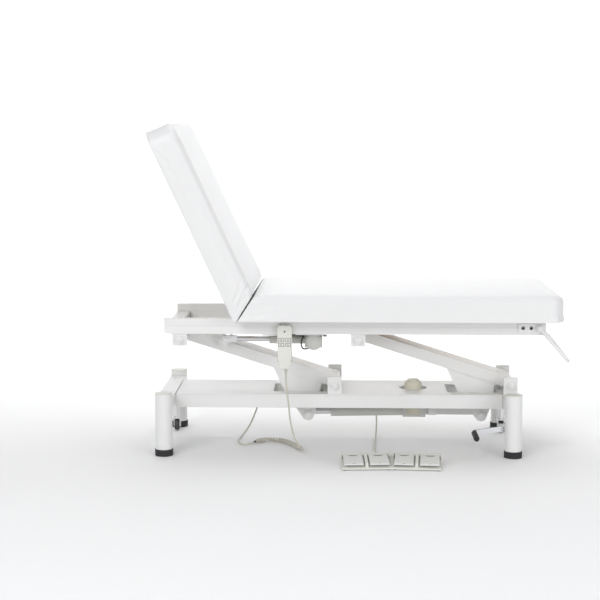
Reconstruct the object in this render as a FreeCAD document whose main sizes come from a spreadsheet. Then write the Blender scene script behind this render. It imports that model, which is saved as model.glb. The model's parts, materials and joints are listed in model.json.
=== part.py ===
import FreeCAD, Part
import math
import os

import Sketcher
from FreeCAD import Placement, Rotation, Vector

# Facial treatment bed: a parallelogram lift on a four-legged base, a top frame with a seat mattress
# and a reclining backrest, a handset, a four-pedal foot control and retractable castors.
# +X runs from head to foot, +Y away from the side that carries the handset, +Z up, floor at Z = 0.
# Every length is in millimetres and every angle in degrees. Y places are given from the bed's centre line.

SIZES = {
    # frame of the whole part
    "bed_y": 70,
    # legs and rubber feet
    "leg_head_x": -699, "leg_foot_x": 534, "leg_y": 250, "leg_rad": 30, "leg_wall": 2.5,
    "leg_base": 6, "leg_top": 220, "cap_rad": 32, "cap_tall": 24,
    # cross-members and deck
    "beam_wide": 55, "beam_base": 153, "beam_tall": 50, "beam_wall": 3,
    "deck_head_x": -666, "deck_foot_x": 506, "deck_half": 145, "deck_base": 152, "deck_top": 202,
    "deck_sheet": 4, "side_wide": 20, "side_wall": 2.5,
    "gap_head": 222, "gap_near": -91, "gap_far": 75, "gap_foot_a": 26, "gap_foot_b": 38,
    "oval_rad": 42, "oval_half": 10,
    # lift linkage
    "low_head_x": -96, "low_foot_x": 534, "low_z": 235, "reach": 547, "rise": 174,
    "arm_wide": 135, "arm_thick": 40, "arm_wall": 3, "hub_rad": 19, "shaft_rad": 10, "run_gap": 0.05,
    "low_hub_half": 122, "top_hub_half": 209, "post_wide": 50, "post_top": 264, "post_thick": 20,
    "web_out": 62, "web_in": 56, "lug_back": 97, "lug_drop": 125, "lug_pin": 6,
    "tie_near": 40, "tie_thick": 12, "tie_tall": 34,
    # lift actuator
    "act_x": 192, "tail_x": 262, "tail_z": 118, "can_rad": 32, "can_base": 106, "can_top": 218,
    # top frame
    "top_head_x": -698, "top_foot_x": 645, "top_half": 225, "rail_wide": 30, "rail_wall": 2.5,
    "low_rail_z": 431, "mid_rail_z": 457, "top_rail_z": 485, "cross_wide": 48, "bracket_drop": 43,
    "bracket_wide": 52, "bracket_thick": 12,
    # mattresses
    "pad_half": 325, "pad_base": 486, "pad_tall": 90, "seat_foot_x": 701, "bevel": 33.6, "fold_gap": 2,
    "corner_rad": 60, "edge_rad": 18, "board_thick": 12,
    # backrest
    "hinge_x": -444, "hinge_z": 472, "back_angle": 65, "back_long": 732, "lip": 10,
    "pin_rad": 6, "lever_drop": 76,
    "lever_y": -100, "motor_x": -171,
    # handset
    "hand_x": -271, "hand_z": 311, "hand_tall": 155, "hand_wide": 51, "hand_thick": 24,
    # control box
    "box_head_x": -312, "box_foot_x": -30, "box_near": 80, "box_deep": 42, "box_base": 124,
    # castors
    "castor_y": 180, "stem_rad": 10, "wheel_rad": 21, "wheel_wide": 18, "trail": 14, "axle_z": 24,
    # foot control
    "pedal_x": 101, "pedal_y": -408, "pod_long": 168, "pod_deep": 110, "splay": 4, "pedal_wide": 66,
    "pedal_out": 44, "rib_wide": 10,
    # cords
    "cord_dia": 6, "curl_dia": 18,
}

doc = FreeCAD.newDocument("facial_treatment_bed")
sheet = doc.addObject("Spreadsheet::Sheet", "D")
for row, (alias, size) in enumerate(SIZES.items(), 1):
    sheet.set(f"A{row}", alias)
    sheet.set(f"B{row}", str(size))
    sheet.setAlias(f"B{row}", alias)
doc.recompute()

# The backrest's lever hangs straight down about half way through the backrest's travel.
HALF_TRAVEL = math.radians(35)

NODES = []
AXES = {"X": Rotation(Vector(0, 1, 0), 90), "Y": Rotation(Vector(1, 0, 0), -90), "Z": Rotation()}


def size(alias):
    return float(sheet.get(alias))


def keep(obj, label):
    """Marks a finished sub-part: its label names its file."""
    obj.Label = label
    NODES.append(obj)
    return obj


def bind(obj, **formulas):
    for prop, formula in formulas.items():
        obj.setExpression(prop, str(formula))
    return obj


def place(obj, x=0, y=0, z=0, turn=Rotation()):
    """Puts an object at a place given from the bed's centre line."""
    obj.Placement = Placement(Vector(), turn)
    obj.setExpression("Placement.Base.x", str(x))
    obj.setExpression("Placement.Base.y", f"D.bed_y + ({y})")
    obj.setExpression("Placement.Base.z", str(z))
    return obj


def block(x, y, z, dx, dy, dz):
    """A box from its lowest corner and its three sizes."""
    obj = bind(doc.addObject("Part::Box", "block"), Length=dx, Width=dy, Height=dz)
    return place(obj, x, y, z)


def rod(x, y, z, radius, length, axis="Z"):
    """A cylinder that starts at a point and runs along an axis."""
    obj = bind(doc.addObject("Part::Cylinder", "rod"), Radius=radius, Height=length)
    return place(obj, x, y, z, AXES[axis])


def dome(x, y, z, radius, turn=Rotation()):
    obj = bind(doc.addObject("Part::Sphere", "dome"), Radius=radius)
    obj.Angle1 = 0
    return place(obj, x, y, z, turn)


def join(*parts):
    obj = doc.addObject("Part::MultiFuse", "join")
    obj.Shapes = list(parts)
    obj.Refine = True
    return obj


def minus(base, *tools):
    obj = doc.addObject("Part::Cut", "cut")
    obj.Base = base
    obj.Tool = tools[0] if len(tools) == 1 else join(*tools)
    return obj


def group(*parts):
    """Identical pieces kept as separate solids of one node."""
    obj = doc.addObject("Part::Compound", "group")
    obj.Links = list(parts)
    return obj


def plane_of(body, role):
    return next(item for item in body.Origin.OriginFeatures if item.Role == role)


def outline(body, plane, corners):
    """A closed polygon whose corners are bound to formulas, on one of the body's own planes."""
    sketch = body.newObject("Sketcher::SketchObject", "outline")
    sketch.AttachmentSupport = [(plane_of(body, plane), "")]
    sketch.MapMode = "FlatFace"
    count = len(corners)
    turns = [2 * math.pi * k / count for k in range(count)]
    ring = [Vector(40 * math.cos(turn), 40 * math.sin(turn), 0) for turn in turns]
    for k in range(count):
        sketch.addGeometry(Part.LineSegment(ring[k], ring[(k + 1) % count]), False)
    for k in range(count):
        sketch.addConstraint(Sketcher.Constraint("Coincident", k, 2, (k + 1) % count, 1))
    for k, corner in enumerate(corners):
        for kind, formula, start in zip(("DistanceX", "DistanceY"), corner, (ring[k].x, ring[k].y)):
            index = sketch.addConstraint(Sketcher.Constraint(kind, -1, 1, k, 1, start))
            sketch.setExpression(f"Constraints[{index}]", str(formula))
    return sketch


def pad(body, plane, corners, width, side="Symmetric"):
    feature = body.newObject("PartDesign::Pad", "pad")
    feature.Profile = outline(body, plane, corners)
    feature.SideType = side
    return bind(feature, Length=width)


def pocket(body, plane, corners, width, side="Symmetric"):
    feature = body.newObject("PartDesign::Pocket", "pocket")
    feature.Profile = outline(body, plane, corners)
    feature.SideType = side
    return bind(feature, Length=width)


def rounded(body, radius, wanted):
    """Rounds the edges of the body's tip that a test picks."""
    doc.recompute()
    tip = body.Tip
    names = [f"Edge{k}" for k, edge in enumerate(tip.Shape.Edges, 1) if wanted(edge)]
    feature = body.newObject("PartDesign::Fillet", "rounding")
    feature.Base = (tip, names)
    return bind(feature, Radius=radius)


def new_body(x=0, y=0, z=0, turn=Rotation()):
    return place(doc.addObject("PartDesign::Body", "body"), x, y, z, turn)


def upright(edge):
    return edge.BoundBox.ZLength > 5 and edge.BoundBox.XLength < 0.1 and edge.BoundBox.YLength < 0.1


def along_y(edge):
    return edge.BoundBox.YLength > 3 and edge.BoundBox.XLength < 0.1 and edge.BoundBox.ZLength < 0.1


def at_pad_top(edge):
    """The top edges of a mattress that is drawn from the hinge axis."""
    return edge.BoundBox.ZMin > size("pad_base") - size("hinge_z") + size("pad_tall") - 1


def rectangle(x0, y0, x1, y1):
    return [(x0, y0), (x1, y0), (x1, y1), (x0, y1)]


# ---------------------------------------------------------------- base frame


def legs_and_feet():
    legs, feet = [], []
    for leg_x in ("D.leg_head_x", "D.leg_foot_x"):
        for leg_y in ("-D.leg_y", "D.leg_y"):
            tube = rod(leg_x, leg_y, "D.leg_base", "D.leg_rad", "D.leg_top - D.leg_base")
            bore = rod(leg_x, leg_y, "D.leg_base", "D.leg_rad - D.leg_wall", "D.leg_top - D.leg_base - 4")
            legs.append(minus(tube, bore))
            cup = rod(leg_x, leg_y, 0, "D.cap_rad", "D.cap_tall")
            seat = rod(leg_x, leg_y, "D.leg_base", "D.leg_rad", "D.cap_tall")
            feet.append(minus(cup, seat))
    keep(group(*legs), "leg_tubes")
    keep(group(*feet), "rubber_feet")


def cross_member(leg_x, extra=()):
    """A box tube between two legs, notched round them and bored for its two castor stems."""
    half = "(D.leg_y - 15)"
    tube = block(f"{leg_x} - D.beam_wide/2", f"-{half}", "D.beam_base",
                 "D.beam_wide", f"2*{half}", "D.beam_tall")
    hollow = block(f"{leg_x} - D.beam_wide/2 + D.beam_wall", f"-{half}", "D.beam_base + D.beam_wall",
                   "D.beam_wide - 2*D.beam_wall", f"2*{half}", "D.beam_tall - 2*D.beam_wall")
    tools = [hollow]
    for side in ("-", ""):
        tools.append(rod(leg_x, f"{side}D.leg_y", "D.beam_base - 5", "D.leg_rad + 0.2", "D.beam_tall + 10"))
        tools.append(rod(leg_x, f"{side}D.castor_y", 60, "D.stem_rad + 0.4", 160))
    base = join(minus(tube, hollow), *extra) if extra else tube
    return minus(base, *tools)


def cross_members():
    # The foot-end tube carries the sleeve, hub and stub pin of the castor lever.
    sleeve = rod("D.leg_foot_x", "-D.castor_y", 90, 15, "D.beam_base - 88")
    hub = block("D.leg_foot_x - 46", "-D.castor_y - 16", 78, 66, 32, 24)
    stub = rod("D.leg_foot_x - 36", "-D.castor_y - 26", 91, 5, 12, "Y")
    keep(group(cross_member("D.leg_head_x"), cross_member("D.leg_foot_x", (sleeve, hub, stub))),
         "cross_members")


def base_deck():
    sides = []
    for near in ("-D.deck_half", "D.deck_half - D.side_wide"):
        tube = block("D.deck_head_x", near, "D.deck_base", "D.deck_foot_x - D.deck_head_x", "D.side_wide",
                     "D.deck_top - D.deck_sheet - D.deck_base")
        hollow = block("D.deck_head_x + 4", f"{near} + D.side_wall", "D.deck_base + D.side_wall",
                       "D.deck_foot_x - D.deck_head_x - 8", "D.side_wide - 2*D.side_wall",
                       "D.deck_top - D.deck_sheet - D.deck_base - 2*D.side_wall")
        sides.append(minus(tube, hollow))
    keep(group(*sides), "base_side_rails")

    body = new_body(0, 0, "D.deck_top - D.deck_sheet")
    pad(body, "XY_Plane", rectangle("D.deck_head_x", "-D.deck_half", "D.deck_foot_x", "D.deck_half"),
        "D.deck_sheet", "One side")
    for pivot, stop in (("D.low_head_x", "D.gap_foot_a"), ("D.low_foot_x", "D.gap_foot_b")):
        pocket(body, "XY_Plane", rectangle(f"{pivot} - D.gap_head", "D.gap_near", f"{pivot} - {stop}",
                                           "D.gap_far"), 40)
    doc.recompute()
    slot = join(rod("D.act_x - D.oval_half", 0, 190, "D.oval_rad", 20),
                rod("D.act_x + D.oval_half", 0, 190, "D.oval_rad", 20),
                block("D.act_x - D.oval_half", "-D.oval_rad", 190, "2*D.oval_half", "2*D.oval_rad", 20))
    ears = []
    for near in (-27, 19):
        ears.append(block("D.tail_x - 14", near, "D.tail_z - 14",
                          28, 8, "D.deck_top - D.deck_sheet - D.tail_z + 14"))
    pin = rod("D.tail_x", -27, "D.tail_z", 6, 54, "Y")
    keep(join(minus(body, slot), *ears, pin), "deck_plate")


def lower_pivots():
    posts, shafts = [], []
    for pivot, base in (("D.low_head_x", "D.deck_top"), ("D.low_foot_x", "D.beam_base + D.beam_tall")):
        for near in ("-D.deck_half", "D.deck_half - D.post_thick"):
            post = block(f"{pivot} - D.post_wide/2", near, base, "D.post_wide", "D.post_thick",
                         f"D.post_top - ({base})")
            bore = rod(pivot, f"{near} - 1", "D.low_z", "D.shaft_rad", "D.post_thick + 2", "Y")
            posts.append(minus(post, bore))
        shaft = rod(pivot, "-D.deck_half - 3", "D.low_z", "D.shaft_rad", "2*D.deck_half + 6", "Y")
        near_head = dome(pivot, "-D.deck_half", "D.low_z", 11, Rotation(Vector(1, 0, 0), 90))
        far_head = dome(pivot, "D.deck_half", "D.low_z", 11, Rotation(Vector(1, 0, 0), -90))
        shafts.append(join(shaft, near_head, far_head))
    keep(group(*posts), "lower_pivot_posts")
    keep(group(*shafts), "lower_pivot_shafts")


# ---------------------------------------------------------------- lift linkage


def lift_arm(label, pivot):
    """A box arm with a hub at each end and two webs that carry the tie-bar lug below its lower pivot."""
    length = "sqrt(D.reach^2 + D.rise^2)"
    slope = math.degrees(math.atan2(size("rise"), size("reach")))
    turn = Rotation(Vector(0, 1, 0), slope)
    outer = bind(doc.addObject("Part::Box", "arm"), Length=length, Width="D.arm_wide", Height="D.arm_thick")
    inner = bind(doc.addObject("Part::Box", "arm_hollow"), Length=f"{length} - 60",
                 Width="D.arm_wide - 2*D.arm_wall", Height="D.arm_thick - 2*D.arm_wall")
    sine, cosine = f"(D.rise / {length})", f"(D.reach / {length})"
    top_x, top_z = f"({pivot} - D.reach)", "(D.low_z + D.rise)"
    # The box hangs from the upper pivot along the slope, half its thickness below the pivot line.
    place(outer, f"{top_x} - D.arm_thick/2*{sine}", "-D.arm_wide/2", f"{top_z} - D.arm_thick/2*{cosine}",
          turn)
    inset = "(D.arm_thick/2 - D.arm_wall)"
    place(inner, f"{top_x} + 30*{cosine} - {inset}*{sine}", "-D.arm_wide/2 + D.arm_wall",
          f"{top_z} - 30*{sine} - {inset}*{cosine}", turn)
    web = new_body(pivot, 0, "D.low_z")
    pad(web, "XZ_Plane", [(-225, 52.5), (-181, -40), (-142, -96), (-120, -130), ("-D.lug_back - 14", -142),
                          ("-D.lug_back", -146), ("-D.lug_back + 14", -142), (-76, -130), (-64, -95),
                          (-50, -12), (-40, -6.5)], "2*D.web_out")
    pocket(web, "XZ_Plane", [(-240, -160), (-20, -160), (-20, -17), (-240, 53)], "2*D.web_in")
    parts = [minus(outer, inner), web]
    parts.append(rod(pivot, "-D.low_hub_half", "D.low_z", "D.hub_rad", "2*D.low_hub_half", "Y"))
    parts.append(rod(top_x, "-D.top_hub_half", top_z, "D.hub_rad", "2*D.top_hub_half", "Y"))
    for near in ("-D.web_out - 4", "D.web_out"):
        parts.append(rod(f"{pivot} - D.lug_back", near, "D.low_z - D.lug_drop", 17, 4, "Y"))
    bores = [
        rod(pivot, "-D.low_hub_half - 1", "D.low_z", "D.shaft_rad + D.run_gap", "2*D.low_hub_half + 2", "Y"),
        rod(top_x, "-D.top_hub_half - 1", top_z, "D.shaft_rad + D.run_gap", "2*D.top_hub_half + 2", "Y"),
        rod(f"{pivot} - D.lug_back", -80, "D.low_z - D.lug_drop", "D.lug_pin + D.run_gap", 160, "Y"),
    ]
    keep(minus(join(*parts), *bores), label)


def tie_link():
    """The bar that keeps the two arms in step, with its two headed pins."""
    lug_z = "(D.low_z - D.lug_drop)"
    start = "(D.low_head_x - D.lug_back)"
    span = "(D.low_foot_x - D.low_head_x)"
    bar = block(start, "D.tie_near", f"{lug_z} - D.tie_tall/2", span, "D.tie_thick", "D.tie_tall")
    ends = [rod(f"{start} + {shift}", "D.tie_near", lug_z, "D.tie_tall/2", "D.tie_thick", "Y")
            for shift in (0, span)]
    # The head-end hole is a snug seat; the foot-end joint is the linkage's open pivot and has play.
    holes = [rod(start, 30, lug_z, "D.lug_pin", 30, "Y"),
             rod(f"{start} + {span}", 30, lug_z, "D.lug_pin + 0.3", 30, "Y")]
    keep(minus(join(bar, *ends), *holes), "tie_bar")
    pins = []
    for shift in (0, span):
        shank = rod(f"{start} + {shift}", "-D.web_out - 4.5", lug_z, "D.lug_pin", "2*D.web_out + 9", "Y")
        near_head = rod(f"{start} + {shift}", "-D.web_out - 9.5", lug_z, 11, 5, "Y")
        far_head = rod(f"{start} + {shift}", "D.web_out + 4.5", lug_z, 11, 5, "Y")
        pins.append(join(shank, near_head, far_head))
    keep(group(*pins), "tie_pins")


def lift_actuator():
    """A linear actuator whose upright motor stands in the deck's oval cut-out."""
    lug_x, lug_z = "(D.low_head_x - D.lug_back)", "(D.low_z - D.lug_drop)"
    mouth_x = -110
    run_x = size("tail_x") - (size("low_head_x") - size("lug_back"))
    drop = size("tail_z") - (size("low_z") - size("lug_drop"))
    tilt = Rotation(Vector(0, 1, 0), math.degrees(math.atan2(-drop, run_x)))
    along = Rotation(Vector(0, 1, 0), -90).multiply(Rotation())
    axis = tilt.multiply(along)

    def on_axis(radius, start, length):
        """A cylinder on the push rod's line, from a distance before the tail pivot towards the lug."""
        shift = axis.multVec(Vector(0, 0, start))
        obj = bind(doc.addObject("Part::Cylinder", "tube"), Radius=radius, Height=length)
        return place(obj, f"D.tail_x + ({shift.x})", 0, f"D.tail_z + ({shift.z})", axis)

    mouth = size("tail_x") - mouth_x
    can = rod("D.act_x", 0, "D.can_base", "D.can_rad", "D.can_top - D.can_base - 22")
    crown = bind(doc.addObject("Part::Cone", "crown"), Radius1="D.can_rad", Radius2="D.can_rad - 13",
                 Height=22)
    place(crown, "D.act_x", 0, "D.can_top - 22")
    gearbox = block("D.act_x - 38", -22, "D.tail_z - 22", 84, 44, 40)
    tail = block("D.act_x + 30", -18, "D.tail_z - 11", "D.tail_x - D.act_x - 30", 36, 22)
    eye = rod("D.tail_x", -18, "D.tail_z", 14, 36, "Y")
    shell = join(can, crown, gearbox, tail, eye, on_axis(18, 60, mouth - 60))
    tail_bore = rod("D.tail_x", -20, "D.tail_z", 6.05, 40, "Y")
    keep(minus(shell, on_axis(11, 100, mouth), tail_bore), "lift_motor")

    reach = math.hypot(run_x, drop)
    shank = on_axis(10, 165, reach - 165 - 12)
    head = rod(lug_x, -10, lug_z, 18, 20, "Y")
    # The eye is wider than its pin: the linkage's closed loop is taken up here.
    slot = rod(lug_x, -12, lug_z, "D.lug_pin + 4.6", 24, "Y")
    keep(minus(join(shank, head), slot), "lift_rod")


# ---------------------------------------------------------------- top frame


def accessory_holes(near, depth):
    """Three holes in a row at the rails' foot end."""
    return [rod(f"D.top_foot_x - {back}", near, "D.mid_rail_z", 6.5, depth, "Y") for back in (81, 52.5, 24)]


def top_rails():
    for label, base, top in (("lower_frame_rails", "D.low_rail_z", "D.mid_rail_z"),
                             ("upper_frame_rails", "D.mid_rail_z", "D.top_rail_z")):
        rails = []
        for near in ("-D.top_half", "D.top_half - D.rail_wide"):
            tube = block("D.top_head_x", near, base,
                         "D.top_foot_x - D.top_head_x", "D.rail_wide", f"{top} - {base}")
            hollow = block("D.top_head_x - 1", f"{near} + D.rail_wall", f"{base} + D.rail_wall",
                           "D.top_foot_x - D.top_head_x + 2", "D.rail_wide - 2*D.rail_wall",
                           f"{top} - {base} - 2*D.rail_wall")
            outside = "-D.top_half - 1" if near.startswith("-") else "D.top_half - 9"
            rails.append(minus(tube, hollow, *accessory_holes(outside, 10)))
        keep(group(*rails), label)


def cross_tubes():
    """Cross tubes between the rails, and the plates that carry the backrest motor."""
    parts = []
    for x in ("D.top_head_x", "D.hinge_x + 58", "D.low_foot_x - D.reach - D.cross_wide/2",
              "D.top_foot_x - D.cross_wide"):
        tube = block(x, "-D.top_half + D.rail_wide", "D.low_rail_z", "D.cross_wide",
                     "2*(D.top_half - D.rail_wide)", "D.mid_rail_z - D.low_rail_z")
        hollow = block(f"{x} + D.rail_wall", "-D.top_half + D.rail_wide + 2", "D.low_rail_z + D.rail_wall",
                       "D.cross_wide - 2*D.rail_wall", "2*(D.top_half - D.rail_wide) - 4",
                       "D.mid_rail_z - D.low_rail_z - 2*D.rail_wall")
        parts.append(minus(tube, hollow))
    parts.append(block("D.motor_x - 62", "-D.top_half", "D.low_rail_z - 3", 110, 150, 2.9))
    parts.append(block("D.motor_x - 181", "-D.top_half", "D.low_rail_z - 6", 56, "D.rail_wide", 5.9))
    keep(group(*parts), "cross_tubes")


def upper_pivots():
    brackets, shafts = [], []
    top_z = "(D.low_z + D.rise)"
    for pivot in ("(D.low_head_x - D.reach)", "(D.low_foot_x - D.reach)"):
        for near in ("-D.top_half", "D.top_half - D.bracket_thick"):
            plate = block(f"{pivot} - D.bracket_wide/2", near, "D.low_rail_z - D.bracket_drop",
                          "D.bracket_wide", "D.bracket_thick", "D.bracket_drop")
            bore = rod(pivot, f"{near} - 1", top_z, "D.shaft_rad", "D.bracket_thick + 2", "Y")
            brackets.append(minus(plate, bore))
        shaft = rod(pivot, "-D.top_half - 3", top_z, "D.shaft_rad", "2*D.top_half + 6", "Y")
        near_head = dome(pivot, "-D.top_half", top_z, 11, Rotation(Vector(1, 0, 0), 90))
        far_head = dome(pivot, "D.top_half", top_z, 11, Rotation(Vector(1, 0, 0), -90))
        shafts.append(join(shaft, near_head, far_head))
    keep(group(*brackets), "upper_pivot_brackets")
    keep(group(*shafts), "upper_pivot_shafts")


def seat():
    board = block("D.hinge_x + 30", "-D.top_half + D.rail_wide + 2", "D.top_rail_z - D.board_thick",
                  "D.top_foot_x - D.hinge_x - 40", "2*(D.top_half - D.rail_wide) - 4", "D.board_thick")
    keep(board, "seat_board")
    low = "(D.pad_base - D.hinge_z)"
    high = f"({low} + D.pad_tall)"
    body = new_body("D.hinge_x", 0, "D.hinge_z")
    pad(body, "XZ_Plane", [(f"D.fold_gap + {low}*tan(D.bevel)", low), ("D.seat_foot_x - D.hinge_x", low),
                           ("D.seat_foot_x - D.hinge_x", high), (f"D.fold_gap + {high}*tan(D.bevel)", high)],
        "2*D.pad_half")
    rounded(body, "D.corner_rad", upright)
    rounded(body, "D.edge_rad", at_pad_top)
    keep(body, "seat_cushion")


def accessory_plates():
    plates = []
    for near in ("-D.top_half - 6", "D.top_half"):
        plate = block("D.top_foot_x - 98", near, "D.mid_rail_z - 17", 95, 6, 32)
        plates.append(minus(plate, *accessory_holes(f"{near} - 1", 8)))
    keep(group(*plates), "accessory_plates")


# ---------------------------------------------------------------- round bars and cords along a route


def smooth_wire(points, least=0.0, report=None):
    """Straight runs joined by tangent arcs, each as large as its two runs allow."""
    edges, radii, start = [], [], points[0]
    for before, corner, after in zip(points, points[1:], points[2:]):
        into, out = corner - before, after - corner
        turn = into.getAngle(out)
        shorter = min(into.Length, out.Length)
        radius = max(0.45 * shorter / math.tan(turn / 2), least)
        tangent = radius * math.tan(turn / 2)
        first = corner - Vector(into).normalize() * tangent
        last = corner + Vector(out).normalize() * tangent
        middle_way = (Vector(out).normalize() - Vector(into).normalize()).normalize()
        bulge = radius / math.cos(turn / 2) - radius
        edges.append(Part.LineSegment(start, first).toShape())
        edges.append(Part.Arc(first, corner + middle_way * bulge, last).toShape())
        radii.append(radius)
        start = last
    edges.append(Part.LineSegment(start, points[-1]).toShape())
    if report:
        print(report, "radii", [round(radius, 1) for radius in radii])
    return Part.Wire(edges)


def tube_along(wire, diameter):
    start = wire.Edges[0]
    normal = start.tangentAt(start.FirstParameter)
    ring = Part.Wire(Part.Circle(start.valueAt(start.FirstParameter), normal, diameter / 2).toShape())
    tube = wire.makePipeShell([ring], True, True)
    wanted = wire.Length * math.pi * diameter**2 / 4
    print("  length", round(wire.Length, 1), "volume ratio", round(tube.Volume / wanted, 4))
    return tube


def from_list(route):
    middle = size("bed_y")
    return [Vector(x, y + middle, z) for x, y, z in route]


def cord(label, route, diameter):
    obj = doc.addObject("Part::Feature", "cord")
    obj.Shape = tube_along(smooth_wire(from_list(route), report=label), diameter)
    return keep(obj, label)


def roll_holder():
    """A bent rod bolted to the last accessory hole, with a level arm across the bed for a paper roll."""
    eye_x = size("top_foot_x") - 24
    near = -size("top_half") - 12
    route = from_list([(eye_x, near, 457), (726, near, 338), (726, 322, 360)])
    into, out = route[1] - route[0], route[2] - route[1]
    bend = 26.0
    tangent = bend * math.tan(into.getAngle(out) / 2)
    first = route[1] - Vector(into).normalize() * tangent
    last = route[1] + Vector(out).normalize() * tangent
    way = (Vector(out).normalize() - Vector(into).normalize()).normalize()
    middle = route[1] + way * (bend / math.cos(into.getAngle(out) / 2) - bend)
    start = route[0] + Vector(into).normalize() * 8
    wire = Part.Wire([Part.LineSegment(start, first).toShape(), Part.Arc(first, middle, last).toShape(),
                      Part.LineSegment(last, route[2]).toShape()])
    bar = doc.addObject("Part::Feature", "bar")
    bar.Shape = tube_along(wire, 12)
    tip = bind(doc.addObject("Part::Sphere", "tip"), Radius=6)
    place(tip, 726, 322, 360)
    eye = rod(eye_x, near - 6, "D.mid_rail_z", 12, 11.5, "Y")
    head = rod(eye_x, near - 11, "D.mid_rail_z", 8.5, 6, "Y")
    shank = rod(eye_x, near - 6, "D.mid_rail_z", 6.3, 26, "Y")
    keep(join(bar, tip, eye, head, shank), "roll_holder")


# ---------------------------------------------------------------- backrest


def backrest():
    """Drawn flat from its hinge axis, then turned up to its resting angle. Its lips hang past the rails."""
    turn = Rotation(Vector(0, 1, 0), size("back_angle"))
    low = "(D.pad_base - D.hinge_z)"
    high = f"({low} + D.pad_tall)"
    hem = f"({low} - D.lip)"
    body = new_body("D.hinge_x", 0, "D.hinge_z", turn)
    pad(body, "XZ_Plane", [(f"-D.fold_gap - {hem}*tan(D.bevel)", hem), ("-D.back_long", hem),
                           ("-D.back_long", high), (f"-D.fold_gap - {high}*tan(D.bevel)", high)],
        "2*D.pad_half")
    rounded(body, "D.corner_rad", upright)
    rounded(body, "D.edge_rad", at_pad_top)
    pocket(body, "XZ_Plane", rectangle("-D.back_long - 10", f"{hem} - 10", 20, low), "2*D.top_half + 6")
    keep(body, "backrest_cushion")

    board = new_body("D.hinge_x", 0, "D.hinge_z", turn)
    pad(board, "XZ_Plane", rectangle("-D.back_long + 30", f"{low} - D.board_thick", -46, f"{low} - 0.5"), 340)
    keep(board, "backrest_board")

    straps = new_body("D.hinge_x", 0, "D.hinge_z", turn)
    pad(straps, "XZ_Plane", [(-560, -10.5), (8, -10.5), (10.5, -8), (10.5, 8), (8, 10.5), (-20, 10.5),
                             (-30, 1.5), (-560, 1.5)], 376)
    pocket(straps, "XZ_Plane", rectangle(-600, -20, 20, 20), 352)
    bars = []
    for start in (-60, -300, -540):
        bar = new_body("D.hinge_x", 0, "D.hinge_z", turn)
        pad(bar, "XZ_Plane", rectangle(start, -10.5, start + 20, 1.5), 370)
        bars.append(bar)
    lever = new_body("D.hinge_x", "D.lever_y", "D.hinge_z", turn)
    pad(lever, "XZ_Plane", lever_corners(-20, 17, [(8, 1), (-60, 1)]), 8)
    slot = new_body("D.hinge_x", "D.lever_y", "D.hinge_z", turn)
    pad(slot, "XZ_Plane", lever_corners(-8.5, size("pin_rad") + 3, lever_shoulder()), 30)
    hole = rod("D.hinge_x", -200, "D.hinge_z", "D.pin_rad + D.run_gap", 400, "Y")
    keep(minus(join(straps, *bars, lever), hole, slot), "backrest_frame")


def lever_corners(past, half, others):
    """Two corners across the lever's lower end, past the pin's far place, then the corners given."""
    reach = size("lever_drop") / math.cos(HALF_TRAVEL) - past
    way = Vector(math.sin(HALF_TRAVEL), 0, -math.cos(HALF_TRAVEL)) * reach
    side = Vector(math.cos(HALF_TRAVEL), 0, math.sin(HALF_TRAVEL)) * half
    return [(way.x - side.x, way.z - side.z), (way.x + side.x, way.z + side.z), *others]


def lever_shoulder():
    """The slot's two upper corners, short of the pin's nearest place."""
    nearest = size("lever_drop") / math.cos(HALF_TRAVEL) - size("lever_drop")
    corners = lever_corners(nearest + 8.5, size("pin_rad") + 3, [])
    return [corners[1], corners[0]]


def hinge_ears():
    ears, pins = [], []
    for side in (-1, 1):
        near = "-D.top_half + D.rail_wide" if side < 0 else "D.top_half - D.rail_wide - 6"
        ear = block("D.hinge_x - 15", near, "D.mid_rail_z + 1", 30, 6, "D.top_rail_z - D.mid_rail_z - 2")
        bore = rod("D.hinge_x", f"{near} - 1", "D.hinge_z", "D.pin_rad", 8, "Y")
        ears.append(minus(ear, bore))
        start = "-D.top_half + D.rail_wide + 0.5" if side < 0 else "D.top_half - D.rail_wide - 24.5"
        pins.append(rod("D.hinge_x", start, "D.hinge_z", "D.pin_rad", 24, "Y"))
    keep(group(*ears), "backrest_hinge_ears")
    keep(group(*pins), "backrest_hinge_pins")


def back_actuator():
    """The backrest actuator: a cross-lying motor under the near rail and a rod that pushes the lever."""
    rod_z = "(D.hinge_z - D.lever_drop)"
    rest = math.radians(size("back_angle")) - HALF_TRAVEL
    eye_x = size("hinge_x") - size("lever_drop") * math.tan(rest)
    can = rod("D.motor_x", "D.lever_y - 62", rod_z, 31, 50, "Y")
    cover = rod("D.motor_x", "D.lever_y - 66", rod_z, 26, 6, "Y")
    gearbox = block("D.motor_x - 32", "D.lever_y - 20", f"{rod_z} - 28", 62, 40,
                    f"D.low_rail_z + 24.8 - {rod_z}")
    tube = rod("D.motor_x - 160", "D.lever_y", rod_z, 17, 140, "X")
    bore = rod("D.motor_x - 162", "D.lever_y", rod_z, 9.6, 186, "X")
    keep(minus(join(can, cover, gearbox, tube), bore), "back_motor")
    shank = rod(eye_x + 38, "D.lever_y", rod_z, 9, 184, "X")
    fork = block(eye_x - 12, "D.lever_y - 13", f"{rod_z} - 11", 52, 26, 22)
    gap = block(eye_x - 13, "D.lever_y - 5", f"{rod_z} - 12", 48, 10, 24)
    pin = rod(eye_x, "D.lever_y - 15", rod_z, "D.pin_rad", 30, "Y")
    keep(join(minus(join(shank, fork), gap), pin), "back_rod")


# ---------------------------------------------------------------- handset


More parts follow.
